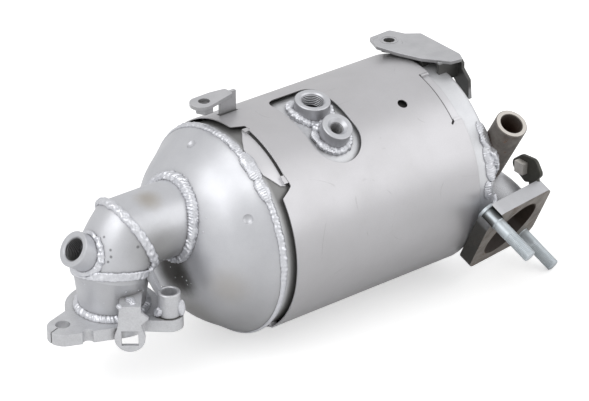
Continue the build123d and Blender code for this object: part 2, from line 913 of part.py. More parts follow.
# rear bracket: top plate over the shoulder, rear skirt and legs down to the canister
with BuildPart() as rear_bracket:
    with BuildSketch(Plane.XY.offset(rear_bracket_z - bracket_sheet)):
        with BuildLine():
            Polyline([(end_x + x, y) for x, y in rear_outline], close=True)
        make_face()
        fillet(vertices(), radius=rear_corner)
        with Locations((end_x + rear_nut_along, rear_nut_y)):
            Circle(bracket_hole, mode=Mode.SUBTRACT)
    extrude(amount=bracket_sheet)
    skirt_point = Vector(end_x + rear_skirt_along, 0, rear_bracket_z)
    with BuildSketch(Plane(origin=skirt_point, x_dir=(0, 1, 0), z_dir=(1, 0, 0))):
        with BuildLine():
            Polyline(rear_skirt, close=True)
        make_face()
    extrude(amount=-bracket_sheet)
    for x, y, long, wide in rear_legs:
        with BuildSketch(Plane.XY.offset(rear_bracket_z - rear_leg_depth)):
            with Locations((end_x + x, y)):
                Rectangle(long, wide)
        extrude(amount=rear_leg_depth - bracket_sheet / 2)
    add(can_envelope, mode=Mode.SUBTRACT)

rear_bracket.part.label = "rear_bracket"
export_step(rear_bracket.part, "parts/rear_bracket.step")


# hexagon weld nuts under both bracket plates
for label, x, y, top in (
    ("front_weld_nut", seam_x + front_nut_along, front_plate_y, front_bracket_z - bracket_sheet),
    ("rear_weld_nut", end_x + rear_nut_along, rear_nut_y, rear_bracket_z - bracket_sheet),
):
    with BuildPart() as nut:
        with BuildSketch(Plane.XY.offset(top)):
            with Locations((x, y)):
                RegularPolygon(nut_flats / 2, 6, major_radius=False)
                Circle(nut_bore, mode=Mode.SUBTRACT)
        extrude(amount=-nut_height)
    nut.part.label = label
    export_step(nut.part, f"parts/{label}.step")


# mount sleeve lying against the end wall of the canister, with its weld
sleeve_point = Vector(end_x + sleeve_radius, sleeve_rim[0], axis_z + sleeve_rim[1])
sleeve_plane = Plane(origin=sleeve_point, x_dir=(1, 0, 0), z_dir=radial(sleeve_lean))

with BuildPart() as sleeve:
    with BuildSketch(sleeve_plane):
        Circle(sleeve_radius)
        Circle(sleeve_bore, mode=Mode.SUBTRACT)
    extrude(amount=-sleeve_length)
    flats = sleeve.faces().filter_by(GeomType.PLANE)
    chamfer(flats.edges(), sleeve_chamfer)

sleeve.part.label = "mount_sleeve"
export_step(sleeve.part, "parts/mount_sleeve.step")

with BuildPart() as sleeve_weld:
    with BuildSketch(sleeve_plane.offset(-sleeve_weld_from)):
        Circle(sleeve_radius + sleeve_weld_size)
        Circle(sleeve_radius, mode=Mode.SUBTRACT)
    extrude(amount=-(sleeve_length - sleeve_weld_from))
    add(outer_can(can_radius + sleeve_weld_size, can_length + sleeve_weld_size), mode=Mode.INTERSECT)
    add(can_envelope, mode=Mode.SUBTRACT)

sleeve_weld.part.label = "sleeve_weld"
export_step(sleeve_weld.part, "parts/sleeve_weld.step")


# outlet pipe: short bent pipe welded to the end wall
with BuildPart() as outlet:
    add(outlet_envelope)
    add(outlet_body(outlet_radius - pipe_wall, outlet_thickness), mode=Mode.SUBTRACT)
    add(can_envelope, mode=Mode.SUBTRACT)

outlet.part.label = "outlet_pipe"
export_step(outlet.part, "parts/outlet_pipe.step")


# outlet flange: two-bolt plate, its near lug slotted open to the edge
stud_spots = ((-stud_along, stud_across), (stud_along, -stud_across))
outlet_outline = hull_round(
    [(x, y, lug) for (x, y), lug in zip(stud_spots, outlet_lugs)]
    + [(side * outlet_side, 0, outlet_side_radius) for side in (-1, 1)]
)

with BuildPart() as outlet_flange:
    with BuildSketch(outlet_back):
        add(outlet_outline)
        Circle(outlet_bore, mode=Mode.SUBTRACT)
        with Locations(stud_spots):
            Circle(stud_hole, mode=Mode.SUBTRACT)
        with Locations((stud_spots[0][0], stud_spots[0][1] + outlet_lugs[0])):
            Rectangle(2 * stud_hole, 2 * outlet_lugs[0], mode=Mode.SUBTRACT)
    extrude(amount=outlet_thickness)

outlet_flange.part.label = "outlet_flange"
export_step(outlet_flange.part, "parts/outlet_flange.step")


# the two studs with a thicker shank in the flange and a flat head behind it
with BuildPart() as studs:
    with BuildSketch(outlet_back):
        with Locations(stud_spots):
            Circle(stud_shank)
    extrude(amount=outlet_thickness)
    with BuildSketch(outlet_plane):
        with Locations(stud_spots):
            Circle(stud_radius)
    extrude(amount=stud_length)
    tips = studs.faces().filter_by(GeomType.PLANE).sort_by(Axis((0, 0, 0), outlet_normal))[-2:]
    chamfer(tips.edges(), stud_chamfer)
    with BuildSketch(outlet_back):
        with Locations(stud_spots):
            Circle(stud_head_radius)
    extrude(amount=-stud_head)

studs.part.label = "outlet_studs"
export_step(studs.part, "parts/outlet_studs.step")


# clip bracket on the side of the outlet flange, with its square-headed bolt
clip_plane = Plane(origin=face_point + Vector(clip_along, 0, 0), x_dir=(0, -1, 0), z_dir=(-1, 0, 0))

with BuildPart() as clip:
    with BuildSketch(clip_plane):
        add(hull_round(clip_rounds))
        with Locations(clip_foot[:2]):
            Rectangle(*clip_foot[2:])
        with Locations(clip_bolt_at):
            Circle(clip_pin, mode=Mode.SUBTRACT)
    extrude(amount=-clip_sheet)
    # foot coped to the back of the flange
    add(outlet_flange.part, mode=Mode.SUBTRACT)

clip.part.label = "clip_bracket"
export_step(clip.part, "parts/clip_bracket.step")

with BuildPart() as clip_bolt:
    with BuildSketch(clip_plane):
        with Locations(clip_bolt_at):
            Rectangle(clip_head, clip_head)
    extrude(amount=clip_head_height)
    with BuildSketch(clip_plane):
        with Locations(clip_bolt_at):
            Circle(clip_pin)
    extrude(amount=-clip_sheet * 2)

clip_bolt.part.label = "clip_bolt"
export_step(clip_bolt.part, "parts/clip_bolt.step")


# weld beads: canister seam, neck, mitre, collar, flange and outlet pipe
def seam_band(plane, grown, seats):
    """weld band at a joint: a slab of the grown bodies, cut free of the pieces it joins"""
    with BuildPart() as body:
        for piece in grown:
            add(piece)
        with BuildSketch(plane.offset(-band_width / 2)):
            Circle(neck_radius * 2)
        extrude(amount=band_width, mode=Mode.INTERSECT)
        for seat in seats:
            add(seat, mode=Mode.SUBTRACT)
    return body.part


def ring_bead(plane, ring, bead, seats):
    """round bead along a circle in the plane, cut free of the pieces it joins"""
    side = plane.origin + plane.x_dir * ring
    with BuildPart() as body:
        with BuildSketch(Plane(origin=side, x_dir=plane.x_dir, z_dir=plane.y_dir)):
            Circle(bead)
        revolve(axis=Axis(plane.origin, plane.z_dir), revolution_arc=360)
        for seat in seats:
            add(seat, mode=Mode.SUBTRACT)
    return body.part


with BuildPart() as rim_block:
    add(cone_envelope)
    with BuildSketch(cross_plane(0)):
        Circle(cone_rim_radius)
    extrude(amount=rim_reach)

with BuildPart() as flange_fillet:
    add(ring_bead(collar_foot, collar_low_radius, fillet_leg, (stand_envelope,)))
    split(bisect_by=collar_foot, keep=Keep.TOP)

# bead where the neck meets the cone: a sleeve round the neck kept near the cone
with BuildPart() as neck_weld:
    with BuildSketch(Plane(origin=(seam_x, 0, neck_z), x_dir=(0, 1, 0), z_dir=(1, 0, 0))):
        Circle(neck_radius + neck_bead)
        Circle(neck_radius, mode=Mode.SUBTRACT)
    extrude(amount=-cone_depth - neck_bead * 2)
    add(cone_envelope.moved(Location((-neck_bead, 0, 0))), mode=Mode.INTERSECT)
    add(cone_envelope, mode=Mode.SUBTRACT)

band_body = stand_body(-band_height)
mitre_band = seam_band(
    mitre_plane,
    (neck_body(neck_radius + band_height, mitre_x - neck_radius), band_body),
    (neck_envelope, stand_envelope),
)
beads = {
    "seam_weld": ring_bead(
        cross_plane(seam_bead_x), can_radius - seam_bead_sink, seam_bead, (can_envelope, rim_block.part)
    ),
    "mitre_weld": mitre_band,
    "collar_weld": seam_band(
        joint_plane,
        (band_body,),
        (stand_envelope, neck_envelope, rib.part, boss_welds["elbow_boss"], bosses["elbow_boss"], mitre_band),
    ),
    "flange_weld": flange_fillet.part,
    "neck_weld": neck_weld.part,
}
for label, bead in beads.items():
    bead.label = label
    export_step(bead, f"parts/{label}.step")

# bead round the outlet pipe on the end cover
with BuildPart() as outlet_weld:
    add(outlet_body(outlet_radius + outlet_bead, outlet_thickness))
    add(outer_can(can_radius + outlet_bead, can_length + outlet_bead), mode=Mode.INTERSECT)
    seats = (outlet_envelope, can_envelope, sleeve.part, sleeve_weld.part, outlet_flange.part, studs.part)
    for seat in seats:
        add(seat, mode=Mode.SUBTRACT)

outlet_weld.part.label = "outlet_weld"
export_step(outlet_weld.part, "parts/outlet_weld.step")


# ceramic bricks held in their mats
for label, start, length in (
    ("catalyst_brick", front_room, catalyst_length),
    ("filter_brick", filter_start, filter_length),
):
    with BuildPart() as brick:
        with BuildSketch(cross_plane(start)):
            Circle(brick_radius)
        extrude(amount=length)
        for side in (cross_plane(start), cross_plane(start + length)):
            with BuildSketch(side):
                with GridLocations(cell_pitch, cell_pitch, cell_count, cell_count):
                    Rectangle(cell_width, cell_width)
            extrude(amount=cell_depth, both=True, mode=Mode.SUBTRACT)
    brick.part.label = label
    export_step(brick.part, f"parts/{label}.step")
    with BuildPart() as mat:
        with BuildSketch(cross_plane(start)):
            Circle(inner_radius)
            Circle(brick_radius, mode=Mode.SUBTRACT)
        extrude(amount=length)
    mat.part.label = label.replace("brick", "mat")
    export_step(mat.part, "parts/" + label.replace("brick", "mat") + ".step")
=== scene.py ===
import bpy
import math
import random
from mathutils import Matrix, Quaternion, Vector, noise
from mathutils.bvhtree import BVHTree


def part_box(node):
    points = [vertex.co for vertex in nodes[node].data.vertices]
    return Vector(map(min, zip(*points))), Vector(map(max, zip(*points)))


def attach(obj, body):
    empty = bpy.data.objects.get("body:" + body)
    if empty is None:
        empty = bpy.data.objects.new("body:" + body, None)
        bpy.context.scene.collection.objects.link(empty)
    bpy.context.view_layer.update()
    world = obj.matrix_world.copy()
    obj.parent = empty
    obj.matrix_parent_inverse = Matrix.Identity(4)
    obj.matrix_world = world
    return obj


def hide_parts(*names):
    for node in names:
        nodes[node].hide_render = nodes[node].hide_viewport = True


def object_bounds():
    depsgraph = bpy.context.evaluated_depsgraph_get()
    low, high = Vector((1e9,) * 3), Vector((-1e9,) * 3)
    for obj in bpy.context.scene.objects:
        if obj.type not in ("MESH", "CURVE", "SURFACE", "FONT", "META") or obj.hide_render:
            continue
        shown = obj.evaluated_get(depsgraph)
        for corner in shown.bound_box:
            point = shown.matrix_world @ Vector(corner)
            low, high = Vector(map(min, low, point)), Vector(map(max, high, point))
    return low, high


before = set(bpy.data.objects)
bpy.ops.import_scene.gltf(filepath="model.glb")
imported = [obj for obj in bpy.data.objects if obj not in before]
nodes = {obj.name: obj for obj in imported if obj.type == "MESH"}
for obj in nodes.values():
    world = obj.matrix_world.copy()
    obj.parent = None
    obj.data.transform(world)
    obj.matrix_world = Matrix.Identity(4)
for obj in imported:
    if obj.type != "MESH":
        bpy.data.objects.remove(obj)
cadLow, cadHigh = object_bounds()
print("frame loaded,", len(nodes), "nodes")

# places of the part that several pieces use, in metres
seamX = 0.094
axisZ = 0.037
canRadius = 0.0761
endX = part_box("end_cover")[1].x


def radial(degrees):
    turn = math.radians(degrees)
    return Vector((0, -math.sin(turn), math.cos(turn)))


def canPoint(x, degrees, radius):
    return Vector((x, 0, axisZ)) + radial(degrees) * radius


# the three bosses and the face of the outlet flange
sensorLine, pressureLine = radial(10), radial(30)
sensorFoot, sensorRim = canPoint(0.1662, 10, canRadius), canPoint(0.1662, 10, 0.0871)
pressureFoot, pressureRim = canPoint(0.1654, 30, canRadius), canPoint(0.1654, 30, 0.0890)
elbowLine, elbowRim = Vector((-0.805928, 0, 0.592013)), Vector((-0.0306253, 0, 0.0637571))
outletLine, outletFace = Vector((0.173648, -0.852869, -0.492404)), Vector((0.3052, -0.0747, -0.003))

# camera at the photograph's viewing angle
view = {"from": (-1.0092, -1.4992, 1.0777), "to": (0.161654, 0.0, 0.03658), "lens": 183.4,
        "sensor": 36.0, "wide": 589, "high": 401}
bpy.ops.object.camera_add(location=view["from"])
camera = bpy.context.object
camera.name = "Camera"
camera.rotation_mode = "QUATERNION"
camera.rotation_quaternion = (Vector(view["to"]) - Vector(view["from"])).to_track_quat("-Z", "Y")
camera.data.lens = view["lens"]
camera.data.sensor_width = view["sensor"]
bpy.context.scene.camera = camera
print("camera placed")


# all the solids in one tree, so that small things can be set down on them
def surfaceTree():
    corners, faces = [], []
    for node in nodes.values():
        start = len(corners)
        corners.extend(vertex.co.copy() for vertex in node.data.vertices)
        faces.extend([start + corner for corner in face.vertices] for face in node.data.polygons)
    return BVHTree.FromPolygons(corners, faces)


surface = surfaceTree()


def seenAt(across, down):
    # the point and normal under a place in the photograph's frame, in its pixels
    side = (across - view["wide"] / 2) / view["wide"] * view["sensor"] / view["lens"]
    rise = (view["high"] / 2 - down) / view["wide"] * view["sensor"] / view["lens"]
    direction = camera.rotation_quaternion @ Vector((side, rise, -1)).normalized()
    spot, normal, _, _ = surface.ray_cast(Vector(view["from"]), direction)
    if spot is None:
        raise ValueError(f"nothing is seen at {across}, {down}")
    return spot, normal if normal.dot(direction) < 0 else -normal


def only(thing):
    bpy.ops.object.select_all(action="DESELECT")
    thing.select_set(True)
    bpy.context.view_layer.objects.active = thing


def settle():
    bpy.ops.object.transform_apply(location=True, rotation=True, scale=True)


def copyOf(nodeName, label):
    piece = bpy.data.objects.new(label, nodes[nodeName].data.copy())
    bpy.context.collection.objects.link(piece)
    only(piece)
    bpy.ops.object.mode_set(mode="EDIT")
    bpy.ops.mesh.select_all(action="SELECT")
    bpy.ops.mesh.remove_doubles(threshold=0.000005)
    bpy.ops.object.mode_set(mode="OBJECT")
    return piece


def remeshed(piece, voxel):
    remesh = piece.modifiers.new("Remesh", "REMESH")
    remesh.mode = "VOXEL"
    remesh.voxel_size = voxel
    bpy.ops.object.modifier_apply(modifier=remesh.name)


def finished(piece, slotName, material, *replaced):
    piece.data.materials.clear()
    piece.data.materials.append(material)
    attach(piece, "root")
    if replaced:
        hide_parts(*replaced)


# shorthand for shader nodes: a value is linked if it is a socket, and set if it is a number
def feed(tree, socket, value):
    if isinstance(value, bpy.types.NodeSocket):
        tree.links.new(value, socket)
    else:
        socket.default_value = value


def put(tree, kind, inputs=None, **settings):
    node = tree.nodes.new(kind)
    for key, value in settings.items():
        setattr(node, key, value)
    for key, value in (inputs or {}).items():
        feed(tree, node.inputs[key], value)
    return node


def placed(tree, group, inputs):
    return put(tree, "ShaderNodeGroup", inputs, node_tree=group).outputs


def blended(tree, factor, first, second, way="MIX"):
    values = {0: factor, 6: first, 7: second}    # the sockets of a colour mix
    return put(tree, "ShaderNodeMix", values, data_type="RGBA", blend_type=way).outputs[2]


def worked(tree, operation, first, second=0.0):
    return put(tree, "ShaderNodeMath", {0: first, 1: second}, operation=operation).outputs[0]


def plus(tree, value, mask, amount):
    return worked(tree, "ADD", value, worked(tree, "MULTIPLY", mask, amount))


def vectors(tree, operation, first, second, output=0):
    return put(tree, "ShaderNodeVectorMath", {0: first, 1: second}, operation=operation).outputs[output]


def ranged(tree, value, low, high, newLow=0.0, newHigh=1.0):
    values = {"Value": value, "From Min": low, "From Max": high, "To Min": newLow, "To Max": newHigh}
    return put(tree, "ShaderNodeMapRange", values).outputs[0]


def clouds(tree, vector, scale, detail=3.0, rough=0.55):
    values = {"Vector": vector, "Scale": scale, "Detail": detail, "Roughness": rough}
    return put(tree, "ShaderNodeTexNoise", values).outputs[0]


def startGroup(name, inputs, outputs):
    tree = bpy.data.node_groups.new(name, "ShaderNodeTree")
    for label, kind, value in inputs:
        socket = tree.interface.new_socket(label, in_out="INPUT", socket_type="NodeSocket" + kind)
        if value is not None:
            socket.default_value = value
    for label, kind in outputs:
        tree.interface.new_socket(label, in_out="OUTPUT", socket_type="NodeSocket" + kind)
    return tree, put(tree, "NodeGroupInput").outputs, put(tree, "NodeGroupOutput").inputs


def colourOf(red, green, blue):
    # a colour as a screen shows it, 0 to 255, made linear
    return (*(((c / 255 + 0.055) / 1.055) ** 2.4 if c > 10 else c / 3294 for c in (red, green, blue)), 1)


# tone of satin steel: soft clouds of a second shade and a fine grain
# noise is given as detail and roughness, and a range as its low and high end
toneValues = {"cloud": (5.0, 0.6), "cloudRange": (0.36, 0.68), "grain": (2.0, 0.6),
              "grainRange": (0.2, 0.75), "grainLight": (0.45, 1.25)}
toneGroup, takes, gives = startGroup(
    "SteelTone",
    (("Vector", "Vector", None), ("Colour", "Color", None), ("Shade", "Color", None),
     ("Cloud Scale", "Float", 40.0), ("Cloud Amount", "Float", 0.5), ("Grain Scale", "Float", 1500.0),
     ("Grain Amount", "Float", 0.2)),
    (("Colour", "Color"), ("Cloud", "Float"), ("Grain", "Float")))
cloud = clouds(toneGroup, takes["Vector"], takes["Cloud Scale"], *toneValues["cloud"])
cloud = ranged(toneGroup, cloud, *toneValues["cloudRange"])
grain = clouds(toneGroup, takes["Vector"], takes["Grain Scale"], *toneValues["grain"])
clouded = worked(toneGroup, "MULTIPLY", cloud, takes["Cloud Amount"])
clouded = blended(toneGroup, clouded, takes["Colour"], takes["Shade"])
speck = ranged(toneGroup, grain, *toneValues["grainRange"], *toneValues["grainLight"])
speck = put(toneGroup, "ShaderNodeCombineColor", {"Red": speck, "Green": speck, "Blue": speck}).outputs[0]
grained = blended(toneGroup, takes["Grain Amount"], clouded, speck, "MULTIPLY")
toneGroup.links.new(grained, gives["Colour"])
toneGroup.links.new(cloud, gives["Cloud"])
toneGroup.links.new(grain, gives["Grain"])

# a soft-edged patch round a point, its edge moved by noise of this scale, detail and roughness
patchValues = {"noise": (260.0, 4.0, 0.6), "middle": 0.5}
patchGroup, takes, gives = startGroup(
    "SpotMask",
    (("Vector", "Vector", None), ("Centre", "Vector", None), ("Reach", "Float", 0.01),
     ("Feather", "Float", 0.01), ("Wobble", "Float", 0.004)),
    (("Mask", "Float"),))
distance = vectors(patchGroup, "DISTANCE", takes["Vector"], takes["Centre"], "Value")
wobble = clouds(patchGroup, takes["Vector"], *patchValues["noise"])
wobble = worked(patchGroup, "SUBTRACT", wobble, patchValues["middle"])
far = plus(patchGroup, distance, wobble, takes["Wobble"])
far = worked(patchGroup, "SUBTRACT", far, takes["Reach"])
fade = {"Value": far, "From Min": 0.0, "From Max": takes["Feather"], "To Min": 1.0, "To Max": 0.0}
inside = put(patchGroup, "ShaderNodeMapRange", fade, interpolation_type="SMOOTHSTEP")
patchGroup.links.new(inside.outputs[0], gives["Mask"])

# thin scuff lines, broken up by a second noise
scuffValues = {"detail": 0.0, "middle": 0.5, "breaks": (75.0, 3.0), "breakRange": (0.52, 0.62)}
scuffGroup, takes, gives = startGroup(
    "ScuffLines",
    (("Vector", "Vector", None), ("Stretch", "Vector", (1.0, 1.0, 1.0)), ("Scale", "Float", 60.0),
     ("Width", "Float", 0.006)),
    (("Mask", "Float"),))
stretched = vectors(scuffGroup, "MULTIPLY", takes["Vector"], takes["Stretch"])
line = clouds(scuffGroup, stretched, takes["Scale"], scuffValues["detail"])
line = worked(scuffGroup, "ABSOLUTE", worked(scuffGroup, "SUBTRACT", line, scuffValues["middle"]))
line = ranged(scuffGroup, line, 0.0, takes["Width"], 1.0, 0.0)
broken = clouds(scuffGroup, takes["Vector"], *scuffValues["breaks"])
broken = ranged(scuffGroup, broken, *scuffValues["breakRange"])
scuffGroup.links.new(worked(scuffGroup, "MULTIPLY", line, broken), gives["Mask"])

# rust: large stains with a fine crumbly edge, and their colour
rustValues = {"large": (95.0, 6.0, 0.65), "largeShare": 0.7, "fine": (900.0, 4.0, 0.6), "fineShare": 0.3,
              "edge": 0.78, "edgeMove": 0.5, "edgeRange": (-0.04, 0.06), "tone": (330.0, 6.0, 0.7),
              "toneRange": (0.38, 0.64)}
rustGroup, takes, gives = startGroup(
    "RustStain",
    (("Vector", "Vector", None), ("Amount", "Float", 0.5), ("Dark", "Color", colourOf(70, 50, 38)),
     ("Light", "Color", colourOf(140, 92, 58))),
    (("Mask", "Float"), ("Colour", "Color")))
large = clouds(rustGroup, takes["Vector"], *rustValues["large"])
fine = clouds(rustGroup, takes["Vector"], *rustValues["fine"])
rusty = plus(rustGroup, worked(rustGroup, "MULTIPLY", large, rustValues["largeShare"]), fine,
             rustValues["fineShare"])
edge = worked(rustGroup, "MULTIPLY", takes["Amount"], rustValues["edgeMove"])
edge = worked(rustGroup, "SUBTRACT", rustValues["edge"], edge)
rusty = ranged(rustGroup, worked(rustGroup, "SUBTRACT", rusty, edge), *rustValues["edgeRange"])
rustGroup.links.new(rusty, gives["Mask"])
tone = clouds(rustGroup, takes["Vector"], *rustValues["tone"])
tone = ranged(rustGroup, tone, *rustValues["toneRange"])
rustGroup.links.new(blended(rustGroup, tone, takes["Dark"], takes["Light"]), gives["Colour"])

# lighter worn edges, and corners darkened where ambient occlusion finds them: dirt and painted shade
wearGroup, takes, gives = startGroup(
    "EdgeAndCorner",
    (("Colour", "Color", None), ("Edge", "Float", 0.0), ("Corner", "Float", 0.0),
     ("Edge Colour", "Color", colourOf(226, 228, 232)), ("Corner Colour", "Color", colourOf(70, 66, 60)),
     ("Edge Amount", "Float", 0.4), ("Corner Amount", "Float", 0.4)),
    (("Colour", "Color"),))
worn = worked(wearGroup, "MULTIPLY", takes["Edge"], takes["Edge Amount"])
worn = blended(wearGroup, worn, takes["Colour"], takes["Edge Colour"])
cornerDirtAndShade = worked(wearGroup, "MULTIPLY", takes["Corner"], takes["Corner Amount"])
cornerDirtAndShade = blended(wearGroup, cornerDirtAndShade, worn, takes["Corner Colour"])
wearGroup.links.new(cornerDirtAndShade, gives["Colour"])
print("node groups made")

# what is the same in every metal: how edges, corners with their dirt and painted shade, rust and the painted
# shade on a sheet's inner side show
metalValues = {"bevelSamples": 4, "edgeRange": (0.995, 0.86), "edgeGrain": (0.35, 0.6, 0.35, 1.0),
               "cornerSamples": 6, "cornerRough": 0.15, "rustRough": 0.25, "rustHeight": 0.8,
               "rustMetal": 0.25, "insideRange": (-0.02, -0.05), "insideRough": 0.2}


def metalLook(name, look):
    material = bpy.data.materials.new(name)
    material.use_nodes = True
    tree = material.node_tree
    shader = tree.nodes["Principled BSDF"].inputs
    at = put(tree, "ShaderNodeTexCoord").outputs["Object"]
    facing = put(tree, "ShaderNodeNewGeometry").outputs["Normal"]
    tone = placed(tree, toneGroup, {
        "Vector": at, "Colour": colourOf(*look["colour"]), "Shade": colourOf(*look["shade"]),
        "Cloud Scale": look["cloudScale"], "Cloud Amount": look["cloud"],
        "Grain Scale": look["grainScale"], "Grain Amount": look["grain"]})
    rounded = put(tree, "ShaderNodeBevel", {"Radius": look["rounding"]},
                  samples=metalValues["bevelSamples"]).outputs[0]
    edge = vectors(tree, "DOT_PRODUCT", rounded, facing, "Value")
    edge = ranged(tree, edge, *metalValues["edgeRange"])
    edge = worked(tree, "MULTIPLY", edge, ranged(tree, tone["Grain"], *metalValues["edgeGrain"]))
    # corners that ambient occlusion finds are darkened: dirt and painted shade
    openness = put(tree, "ShaderNodeAmbientOcclusion", {"Distance": look["cornerReach"]},
                   samples=metalValues["cornerSamples"]).outputs["AO"]
    corner = ranged(tree, openness, look["cornerFrom"], look["cornerTo"], 1.0, 0.0)
    colour = placed(tree, wearGroup, {
        "Colour": tone["Colour"], "Edge": edge, "Corner": corner, "Edge Amount": look["edge"],
        "Corner Amount": look["corner"], "Edge Colour": colourOf(*look["edgeColour"]),
        "Corner Colour": colourOf(*look["cornerColour"])})["Colour"]
    rough = plus(tree, look["rough"], tone["Cloud"], look["roughChange"])
    rough = plus(tree, rough, corner, metalValues["cornerRough"])
    height, metal = tone["Grain"], look["metal"]
    if "scuff" in look:
        mask = placed(tree, scuffGroup, {
            "Vector": at, "Stretch": look["scuffStretch"], "Scale": look["scuffScale"],
            "Width": look["scuffWidth"]})["Mask"]
        mask = worked(tree, "MULTIPLY", mask, look["scuff"])
        colour = blended(tree, mask, colour, colourOf(*look["scuffColour"]))
    if "rust" in look:
        rust = placed(tree, rustGroup, {
            "Vector": at, "Amount": look["rust"], "Dark": colourOf(*look["rustDark"]),
            "Light": colourOf(*look["rustLight"])})
        colour = blended(tree, rust["Mask"], colour, rust["Colour"])
        rough = plus(tree, rough, rust["Mask"], metalValues["rustRough"])
        height = plus(tree, height, rust["Mask"], metalValues["rustHeight"])
        metal = ranged(tree, rust["Mask"], 0.0, 1.0, metal, metal * metalValues["rustMetal"])
    for side in look.get("sides", ()):
        mask = vectors(tree, "DOT_PRODUCT", facing, side["way"], "Value")
        mask = ranged(tree, mask, side["start"], side["start"] + side["turn"])
        for line, past, soft in side["limits"]:
            place = vectors(tree, "DOT_PRODUCT", at, line, "Value")
            mask = worked(tree, "MULTIPLY", mask, ranged(tree, place, past, past + soft))
        uneven = ranged(tree, tone["Cloud"], 0.0, 1.0, 1.0, side["even"])
        mask = worked(tree, "MULTIPLY", worked(tree, "MULTIPLY", mask, uneven), side["amount"])
        colour = blended(tree, mask, colour, colourOf(*side["colour"]))
    for spot in look.get("spots", ()):
        mask = placed(tree, patchGroup, {
            "Vector": at, "Centre": spot["at"], "Reach": spot["reach"], "Feather": spot["feather"],
            "Wobble": spot["wobble"]})["Mask"]
        mask = worked(tree, "MULTIPLY", mask, spot["amount"])
        colour = blended(tree, mask, colour, colourOf(*spot["colour"]))
        if spot["dull"]:
            rough = plus(tree, rough, mask, spot["dull"])
    if "paintedShadeInside" in look:
        # painted shade on the inner side of a wrapped sheet, which faces the canister's axis
        inward = vectors(tree, "SUBTRACT", at, (0.0, 0.0, axisZ))
        inward = vectors(tree, "MULTIPLY", inward, (0.0, 1.0, 1.0))
        inward = vectors(tree, "DOT_PRODUCT", inward, facing, "Value")
        mask = ranged(tree, inward, *metalValues["insideRange"])
        colour = blended(tree, mask, colour, colourOf(*look["paintedShadeInside"]))
        rough = plus(tree, rough, mask, metalValues["insideRough"])
    bump = put(tree, "ShaderNodeBump", {"Strength": look["bump"], "Distance": look["bumpDepth"],
                                        "Height": height, "Normal": rounded}).outputs[0]
    for label, value in (("Base Color", colour), ("Roughness", rough), ("Metallic", metal), ("Normal", bump)):
        feed(tree, shader[label], value)
    return material


def tint(way, start, colour, amount, turn=0.12, even=0.8, limits=()):
    # colours the faces that look along way, or every face if it is zero, past each of the limits:
    # a line, a place on it and a soft width
    return {"way": way, "start": start, "colour": colour, "amount": amount, "turn": turn, "even": even,
            "limits": limits}


# a soft patch of colour round a point, used both for real stains and for painted shade
def stainAndShadeSpot(at, reach, feather, amount, colour, wobble=0.004, dull=0.0):
    return {"at": at, "reach": reach, "feather": feather, "amount": amount, "colour": colour,
            "wobble": wobble, "dull": dull}


def seenStainAndShadeSpot(across, down, **values):
    return stainAndShadeSpot(seenAt(across, down)[0], **values)


# colours are given as a screen shows them, 0 to 255
satin = {"colour": (210, 211, 215), "shade": (194, 195, 200), "cloudScale": 34.0, "cloud": 0.55,
         "grainScale": 1900.0, "grain": 0.10, "rounding": 0.0005, "edge": 0.35, "corner": 0.55,
         "cornerReach": 0.007, "cornerFrom": 0.3, "cornerTo": 0.85, "edgeColour": (226, 228, 232),
         "cornerColour": (84, 80, 74), "scuffColour": (120, 118, 116), "rough": 0.36, "roughChange": 0.06,
         "metal": 0.66, "bump": 0.25, "bumpDepth": 0.0001}
pressed = {**satin, "colour": (204, 204, 207), "shade": (184, 185, 188), "rounding": 0.0006,
           "cloudScale": 70.0, "scuffStretch": (1.0, 0.5, 1.0), "scuffScale": 60.0, "scuffWidth": 0.006,
           "corner": 0.75}
turned = {**satin, "grainScale": 1300.0, "grain": 0.12, "rough": 0.34}
rusted = {**satin, "grain": 0.3, "rough": 0.46, "metal": 0.6, "edge": 0.6}
sootAndShade, straw, paintedShadeGrey = (74, 72, 68), (150, 134, 104), (110, 108, 104)

# dark patches of soot and painted shade near the bush and under the fin, painted shade low on the neck, straw
# tints and pits on the inlet stand and the cone
bodySpots = [
    seenStainAndShadeSpot(172, 268, reach=0.007, feather=0.020, amount=0.95, colour=sootAndShade, dull=0.2),
    seenStainAndShadeSpot(149, 247, reach=0.006, feather=0.018, amount=0.25, colour=paintedShadeGrey),
    seenStainAndShadeSpot(165, 246, reach=0.006, feather=0.018, amount=0.35, colour=paintedShadeGrey),
    seenStainAndShadeSpot(184, 281, reach=0.002, feather=0.016, amount=0.8, colour=sootAndShade, dull=0.2),
    seenStainAndShadeSpot(147, 294, reach=0.004, feather=0.010, amount=0.9, colour=sootAndShade, dull=0.2),
    seenStainAndShadeSpot(139.4, 294.5, reach=0.0006, feather=0.0014, amount=0.6, colour=sootAndShade),
    seenStainAndShadeSpot(148, 199, reach=0.001, feather=0.013, amount=0.45, colour=straw),
    seenStainAndShadeSpot(228, 288, reach=0.002, feather=0.020, amount=0.22, colour=straw),
    seenStainAndShadeSpot(196, 312, reach=0.004, feather=0.022, amount=0.3, colour=(120, 112, 96)),
]
pits = ((104, 237, 0.0005), (110.5, 250, 0.0006), (111, 257, 0.0006), (108, 262, 0.0005), (138, 247, 0.0007))
for across, down, reach in pits:
    bodySpots.append(seenStainAndShadeSpot(across, down, reach=reach, feather=0.0007, amount=0.7, colour=(96, 96, 98),
                               wobble=0.001))

